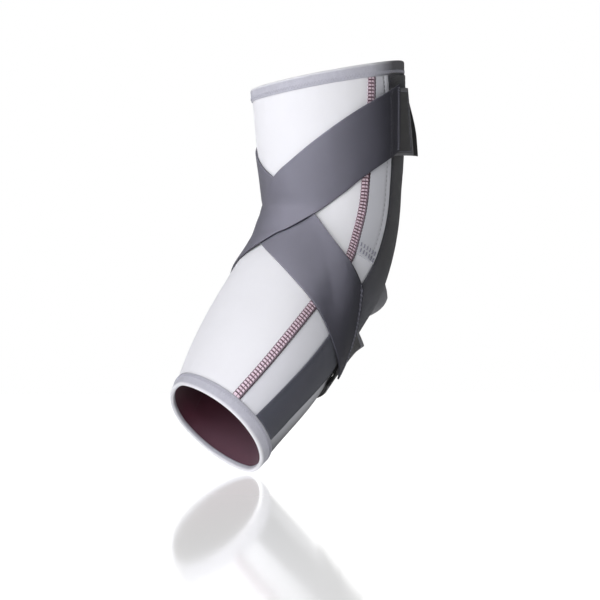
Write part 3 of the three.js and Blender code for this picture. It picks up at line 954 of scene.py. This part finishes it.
def strap_grid(layout, steps=190, columns=26, inset=0.0, short=0.0):
    """Grid of places of a strap, from where it is sewn down to its end over the tab, or to a line
    that falls short of that end."""
    start = layout["sewn"] - SPARE_TURN
    end = layout["root"] / DEGREE + SPARE_TURN
    lines = []
    for aside in np.linspace(-0.5, 0.5, columns) * (STRAP_WIDTH - 2 * inset):
        along, around = strap_line(layout["name"], start, end, aside)
        place = np.arange(len(along))
        begin = np.interp(layout["sewn"] * DEGREE, around, place)
        past = around - root_at(layout, along) - (layout["cover"] - short) / layout["scale"]
        finish = np.interp(0, past, place)
        at = np.linspace(begin, finish, steps)
        lines.append((np.interp(at, place, along), np.interp(at, place, around)))
    return np.stack([line[0] for line in lines], 1), np.stack([line[1] for line in lines], 1)


def tab_base(layout):
    height = trim_height(np.array(layout["root_along"]), np.array(layout["root"]))
    return float(height) + TAB_GAP


def distance_to(layout, along, around):
    """Distance from places on the skin to the edge of a strap."""
    turn = np.linspace(layout["sewn"] * DEGREE, layout["root"], 700)
    middle = skin(course_at(layout["name"], turn), turn)
    here = skin(along, around)
    gaps = np.linalg.norm(here[..., None, :] - middle, axis=-1)
    return gaps.min(axis=-1) - STRAP_WIDTH / 2


def strap_height(layout, along, around, crossed=None):
    """Height of a strap's inner face, drawn smooth over the trim under it."""
    short = (root_at(layout, along) - around) * layout["scale"]
    base = trim_height(along, around) + STRAP_GAP
    if crossed is not None:
        base = base + (STRAP_WALL + CROSSING_GAP) * climb(distance_to(crossed, along, around))
    if base.ndim == 2:
        base = eased(eased(base, EASED_ALONG).T, EASED_ACROSS).T + 0.15 * MM
    lead = TAB_UNDER_STRAP - layout["cover"] + 2 * MM
    return lerp(base, tab_base(layout) + TAB_STACK, 1 - smoothstep(short, lead, lead + TAB_RAMP))


def strap(layout, crossed=None):
    name = layout["name"]
    along, around = strap_grid(layout)
    low = strap_height(layout, along, around, crossed)
    from_edge = np.abs(np.linspace(-1, 1, along.shape[1]))[None, :]
    hem = 0.12 * MM * np.exp(-(1 - from_edge) * STRAP_WIDTH / 2 / (1.6 * MM))
    high = low + STRAP_WALL - 0.25 * MM * from_edge**8 + hem
    piece = slab(f"{name}_strap_elastic", along, around, low - 0.2 * MM * from_edge**6, high)
    rounded(piece, 0.35 * MM)
    dress(piece, "strap_elastic", "strap_elastic", f"{name}_strap")
    strap_stitches(layout, crossed)


def strap_stitches(layout, crossed):
    """Two cross rows where the strap climbs over its tab, and the zigzag by its end."""
    name = layout["name"]
    rows = []
    for short in (layout["cover"] + 2.2 * MM, layout["cover"] + 0.6 * MM):
        along, around = strap_grid(layout, 2, 60, STRAP_INSET, short)
        u, v = along[-1], around[-1]
        top = strap_height(layout, u, v, crossed) + STRAP_WALL
        for k in range(0, len(u) - 3, 4):
            part = slice(k, k + 4)
            rows.append(laid(u[part], v[part], top[part] + 0.02 * MM))
    zigzag = []
    inner = strap_grid(layout, 2, 46, STRAP_INSET, 3.6 * MM)
    outer = strap_grid(layout, 2, 46, STRAP_INSET, 1.2 * MM)
    for k in range(45):
        first, second = (inner, outer) if k % 2 else (outer, inner)
        u = np.linspace(first[0][-1, k], second[0][-1, k + 1], 4)
        v = np.linspace(first[1][-1, k], second[1][-1, k + 1], 4)
        top = strap_height(layout, u, v, crossed) + STRAP_WALL
        zigzag.append(laid(u, v, top + 0.02 * MM))
    dress(threads(f"{name}_strap_rows", rows, 0.2 * MM, 5), "dark_thread", "strap_elastic")
    dress(threads(f"{name}_strap_zigzag", zigzag, 0.2 * MM, 5), "grey_thread", "strap_elastic")


def tab_grid(layout, length, start, margin=0.0, rows=40, columns=TAB_COLUMNS):
    """Grid of places of a tab or its hook pad, from its root towards the free end."""
    middle = layout["root_along"] + layout["drop"] / SLEEVE_LENGTH
    width = (TAB_WIDTH - 2 * margin) / SLEEVE_LENGTH
    aside = np.linspace(layout["trimmed"] - 0.5, 0.5, columns) * width
    along = np.broadcast_to(middle + aside[None, :], (rows, columns))
    reach = lerp(start, length, np.linspace(0, 1, rows)[:, None])
    around = turned_by(along, root_at(layout, along), np.broadcast_to(reach, along.shape))
    return along, around


def tab_rise(layout, along, around):
    """How far the tab stands off towards its free end."""
    middle = layout["root_along"] + layout["drop"] / SLEEVE_LENGTH
    reach = (around - root_at(layout, along)) * layout["scale"]
    free = np.clip((reach - TAB_UNDER_STRAP) / (TAB_LENGTH - TAB_UNDER_STRAP), 0, 1)
    lower = (along - middle) * SLEEVE_LENGTH / TAB_WIDTH + 0.5
    base = trim_height(along, around) + TAB_GAP
    corners = layout["top"] * (1 - lower) ** layout["corner"] + layout["bottom"] * lower
    return base + corners * free**TAB_BEND


def tab(side, layout):
    start = layout["cover"] - TAB_UNDER_STRAP
    lower = smoothstep(np.linspace(0, 1, TAB_COLUMNS), 0, 0.75)
    length = TAB_LENGTH + layout["margin"] * lerp(0.15, 1, lower)
    along, around = tab_grid(layout, length, start)
    onward = lerp(start, length, np.linspace(0, 1, along.shape[0])[:, None])
    lift = layout["pad_lift"] * lower * smoothstep(onward, TAB_LENGTH - 1 * MM, length)
    rise = tab_rise(layout, along, around) + lift
    pad = slab(f"{side}_hook_field", along, around, rise, rise + HOOK_WALL)
    rounded(pad, 0.3 * MM)
    dress(pad, "hook_plastic", "hook_plastic", f"{side}_hook_pad")
    along, around = tab_grid(layout, TAB_LENGTH, start)
    rise = tab_rise(layout, along, around) + HOOK_WALL + LAYER_GAP
    across = (0.5 - np.abs(np.linspace(-0.5, 0.5, along.shape[1])))[None, :] * TAB_WIDTH
    onward = (1 - np.linspace(0, 1, along.shape[0]))[:, None] * (TAB_LENGTH - start)
    from_edge = np.minimum(across, onward)
    groove = np.exp(-(((from_edge - TAB_STITCH) / (0.5 * MM)) ** 2))
    top = rise + TAB_WALL - 0.35 * MM * groove
    face = slab(f"{side}_tab_cloth", along, around, rise, top)
    dress(face, "tab_cloth", "tab_cloth", f"{side}_tab")
    face.data.materials.append(bpy.data.materials["tab_edge"])
    at_edge = (from_edge < 2.3 * MM)[:-1, :-1].ravel()
    for polygon, edge in zip(face.data.polygons, at_edge):
        polygon.material_index = int(edge)
    rounded(face, 0.35 * MM)
    stitches = []
    along, around = tab_grid(layout, TAB_LENGTH - TAB_STITCH, 0.5 * MM, TAB_STITCH, 30, 42)
    every = slice(None)
    for row in ((every, 0), (-1, every), (every, -1)):
        for k in range(0, len(along[row]) - 2, 3):
            u = along[row][k : k + 3]
            v = around[row][k : k + 3]
            height = tab_rise(layout, u, v) + HOOK_WALL + LAYER_GAP + TAB_WALL - 0.2 * MM
            stitches.append(laid(u, v, height))
    dress(threads(f"{side}_tab_stitches", stitches, 0.2 * MM, 5), "grey_thread", "tab_cloth")


# Floor, lights and camera.

VIEW_TURN = 31 * DEGREE
VIEW_RISE = -3 * DEGREE
VIEW_DISTANCE = 1.1
FRAME_PIXELS = 600
MM_PER_PIXEL = 0.70 * MM
ORIGIN_PIXEL = (328, 240)
SENSOR = 36.0


def view_axes():
    """Directions of the camera: right, up and back."""
    level = math.cos(VIEW_RISE)
    ahead = (math.sin(VIEW_TURN) * level, math.cos(VIEW_TURN) * level, -math.sin(VIEW_RISE))
    back = -Vector(ahead)
    right = Vector((math.cos(VIEW_TURN), -math.sin(VIEW_TURN), 0))
    return right, back.cross(right), back


def add_camera():
    right, up, back = view_axes()
    half = FRAME_PIXELS / 2
    eye = back * VIEW_DISTANCE - right * (ORIGIN_PIXEL[0] - half) * MM_PER_PIXEL
    eye = eye + up * (ORIGIN_PIXEL[1] - half) * MM_PER_PIXEL
    data = bpy.data.cameras.new("camera")
    data.sensor_width = SENSOR
    data.lens = SENSOR * VIEW_DISTANCE / (MM_PER_PIXEL * FRAME_PIXELS)
    data.clip_end = 20
    camera = bpy.data.objects.new("camera", data)
    turn = Matrix((right, up, back)).transposed()
    camera.matrix_world = Matrix.Translation(eye) @ turn.to_4x4()
    bpy.context.scene.collection.objects.link(camera)
    bpy.context.scene.camera = camera


def add_floor():
    """Large pale floor with a faint gloss, which grows brighter away from the camera."""
    reach = 6.0
    square = np.array([(-1, -1), (1, -1), (1, 1), (-1, 1)]) * reach
    corners = np.column_stack([square, np.full(4, cad_box[0][2] - 0.2 * MM)])
    floor = make_mesh("floor", corners, [(0, 1, 2, 3)])
    shader = Shader("floor")
    grain = shader.spread(shader.noise(shader.place(), 0.3, 2.0), 0.3, 0.7, 0.60, 0.64)
    shader.feed("Base Color", shader.blend(grain, (0, 0, 0, 1), (1, 1, 1, 1)))
    shader.feed("Roughness", 0.07)
    shader.feed("Specular IOR Level", 0.35)
    shader.feed("Emission Color", (1, 1, 1, 1))
    beyond = shader.along(shader.place(), (math.sin(VIEW_TURN), math.cos(VIEW_TURN), 0.0))
    shader.feed("Emission Strength", shader.spread(beyond, 0.08, 0.7, 0.5, 1.05))
    floor.data.materials.append(shader.material)


def add_light(name, place, target, size, power, colour=(1, 1, 1)):
    data = bpy.data.lights.new(name, "AREA")
    data.shape = "RECTANGLE"
    data.size, data.size_y = size
    data.energy = power
    data.color = colour
    light = bpy.data.objects.new(name, data)
    light.location = place
    light.rotation_euler = (Vector(target) - Vector(place)).to_track_quat("-Z", "Y").to_euler()
    bpy.context.scene.collection.objects.link(light)
    return light


class Studio(Shader):
    """Node tree of the world, built up like a material's."""

    def __init__(self):
        self.world = bpy.data.worlds.new("studio")
        self.world.use_nodes = True
        self.tree = self.world.node_tree
        bpy.context.scene.world = self.world

    def towards(self, direction):
        """How nearly a ray runs along a direction, from -1 to 1."""
        ray = self.node("ShaderNodeTexCoord").outputs["Generated"]
        return self.along(ray, tuple(direction))


def add_world():
    """White to the camera, with a white backdrop for the floor's reflection and light that falls
    off from the camera's left to its right."""
    right, _, back = view_axes()
    studio = Studio()
    path = studio.node("ShaderNodeLightPath")
    rim = (math.cos(17 * DEGREE), math.cos(13 * DEGREE))
    ahead = studio.spread(studio.towards(-back), *rim, 0.0, 1.0)
    upward = (0.0, 0.0, 1.0)
    above = studio.spread(studio.towards(upward), 0.03, 0.05, 0.0, 1.0)
    below = studio.spread(studio.towards(upward), 0.17, 0.21, 1.0, 0.0)
    strip = studio.math("MULTIPLY", ahead, studio.math("MULTIPLY", above, below))
    backdrop = studio.spread(strip, 0.0, 1.0, 0.05, 1.0)
    side_light = studio.spread(studio.towards(-right), -0.6, 1.0, 0.05, 0.36)
    unseen = studio.node("ShaderNodeMix", data_type="FLOAT")
    studio.link(path.outputs["Is Glossy Ray"], unseen.inputs[0])
    studio.link(side_light, unseen.inputs[2])
    studio.link(backdrop, unseen.inputs[3])
    strength = studio.node("ShaderNodeMix", data_type="FLOAT")
    studio.link(path.outputs["Is Camera Ray"], strength.inputs[0])
    studio.link(unseen.outputs[0], strength.inputs[2])
    strength.inputs[3].default_value = 1.0
    background = studio.tree.nodes["Background"]
    background.inputs["Color"].default_value = (1, 1, 1, 1)
    studio.link(strength.outputs[0], background.inputs["Strength"])


def add_lights():
    """A light in front for the colours, two weak ones for the shading, two for the gloss alone."""
    right, up, back = view_axes()
    middle = (-0.02, 0, 0)
    main = back * 1.6 - right * 0.5 + up * 0.35
    add_light("main", main, middle, (1.1, 1.1), 14.4).visible_glossy = False
    key = back * 0.3 - right * 1.4 + up * 0.45
    add_light("key", key, middle, (1.0, 1.4), 3.5)
    add_light("top", (0, 0, 1.7), middle, (1.4, 1.4), 2)
    gloss = back * 0.95 - right * 1.05 + up * 0.1
    high_gloss = back * 0.8 - right * 0.75 + up * 1.0
    for name, place, power in (("gloss", gloss, 62), ("high_gloss", high_gloss, 68)):
        light = add_light(name, place, middle, (0.9, 1.5), power, (0.88, 0.87, 1.0))
        light.visible_diffuse = False


bpy.context.scene.view_settings.view_transform = "Standard"

add_camera()
add_floor()
add_world()
add_lights()
front_cloth()
back_cloth()
lining_cloth()
binding("top_tape", 0, "top_binding")
binding("bottom_tape", 1, "bottom_binding")
binding_stitches("top_tape_stitches", 0)
binding_stitches("bottom_tape_stitches", 1)
for side, sign in (("lateral", 1), ("medial", -1)):
    flatlock(side, sign)
    stay_pocket(side, sign)
    band(side, sign)
over = strap_layout("over")
under = strap_layout("under")
strap(under)
strap(over, under)
tab("upper", over)
tab("lower", under)
